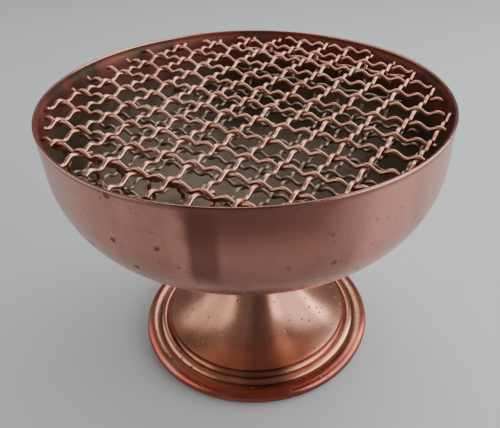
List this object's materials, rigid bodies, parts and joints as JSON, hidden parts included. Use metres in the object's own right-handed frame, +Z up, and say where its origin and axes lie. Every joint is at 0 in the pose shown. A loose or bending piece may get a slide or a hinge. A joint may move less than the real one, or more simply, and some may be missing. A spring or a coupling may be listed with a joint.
{
  "type": "flower frog",
  "caption": "Round footed metal bowl with a lift-out cage of crimped wire mesh that holds flower stems upright.",
  "frame": {"origin": "centre of the circle that the foot stands on", "axes": "+Z up the axis of the bowl; the mesh wires run along X (long wires) and Y (cross wires)"},
  "size_m": [0.1636, 0.1636, 0.126],
  "materials": {
    "bowl_copper": "satin spun copper, lightly tarnished",
    "foot_copper": "satin spun copper, pitted and reddish at the lip",
    "mesh_copper": "drawn copper wire",
    "cradle_copper": "tarnished copper wire",
    "solder": "dull soft solder"
  },
  "bodies": {
    "bowl_and_foot": {"bowl": "bowl_copper", "foot": "foot_copper", "solder_seam": "solder"},
    "mesh_cage": {"cradle_back_rail_high": "cradle_copper", "cradle_back_rail_low": "cradle_copper", "cradle_bent_wire_1": "cradle_copper", "cradle_bent_wire_2": "cradle_copper", "cradle_bent_wire_3": "cradle_copper", "cradle_bent_wire_4": "cradle_copper", "cradle_bent_wire_5": "cradle_copper", "cradle_bent_wire_6": "cradle_copper", "cradle_bent_wire_7": "cradle_copper", "cradle_floor_wire_1": "cradle_copper", "cradle_floor_wire_2": "cradle_copper", "cradle_floor_wire_3": "cradle_copper", "cradle_floor_wire_4": "cradle_copper", "cradle_floor_wire_5": "cradle_copper", "cradle_floor_wire_6": "cradle_copper", "cradle_floor_wire_7": "cradle_copper", "cradle_floor_wire_8": "cradle_copper", "cradle_floor_wire_9": "cradle_copper", "cradle_front_rail_high": "cradle_copper", "cradle_front_rail_low": "cradle_copper", "cradle_side_wire_1": "cradle_copper", "cradle_side_wire_2": "cradle_copper", "cradle_side_wire_3": "cradle_copper", "cradle_side_wire_4": "cradle_copper", "top_cross_wire_01": "mesh_copper", "top_cross_wire_02": "mesh_copper", "top_cross_wire_03": "mesh_copper", "top_cross_wire_04": "mesh_copper", "top_cross_wire_05": "mesh_copper", "top_cross_wire_06": "mesh_copper", "top_cross_wire_07": "mesh_copper", "top_cross_wire_08": "mesh_copper", "top_cross_wire_09": "mesh_copper", "top_cross_wire_10": "mesh_copper", "top_cross_wire_11": "mesh_copper", "top_cross_wire_12": "mesh_copper", "top_long_wire_01": "mesh_copper", "top_long_wire_02": "mesh_copper", "top_long_wire_03": "mesh_copper", "top_long_wire_04": "mesh_copper", "top_long_wire_05": "mesh_copper", "top_long_wire_06": "mesh_copper", "top_long_wire_07": "mesh_copper", "top_long_wire_08": "mesh_copper", "top_long_wire_09": "mesh_copper", "top_long_wire_10": "mesh_copper", "top_long_wire_11": "mesh_copper", "top_long_wire_12": "mesh_copper"}
  },
  "joints": [
    {"name": "cage_lift", "type": "slide", "parent": "bowl_and_foot", "child": "mesh_cage", "axis": [0, 0, 1], "range_m": [0, 0.04]}
  ]
}
